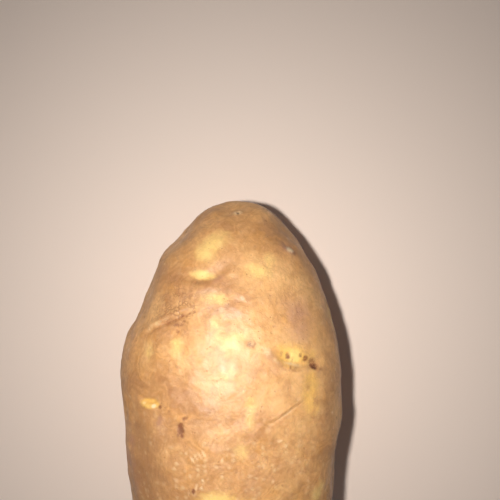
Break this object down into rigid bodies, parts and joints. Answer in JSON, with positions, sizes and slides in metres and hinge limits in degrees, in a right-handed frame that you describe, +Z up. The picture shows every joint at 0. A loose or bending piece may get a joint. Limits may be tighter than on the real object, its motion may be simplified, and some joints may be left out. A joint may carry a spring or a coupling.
{
  "type": "potato",
  "caption": "Long tan potato tuber lying on its side, with arched buds, growth creases, a bud at the rose end and a corky scar at the heel.",
  "frame": {"origin": "middle of the tuber's footprint, on the surface that it rests on", "axes": "+Z up; +Y along the tuber towards the rose end, where the buds crowd, and -Y towards the heel; +X to its right as seen from above with the rose end away"},
  "size_m": [0.0742, 0.1364, 0.0638],
  "materials": {
    "skin": "potato skin: tan, thin and slightly waxy, with fine netting, pale lenticels and yellow patches"
  },
  "bodies": {
    "root": {"tuber": "skin"}
  },
  "joints": []
}
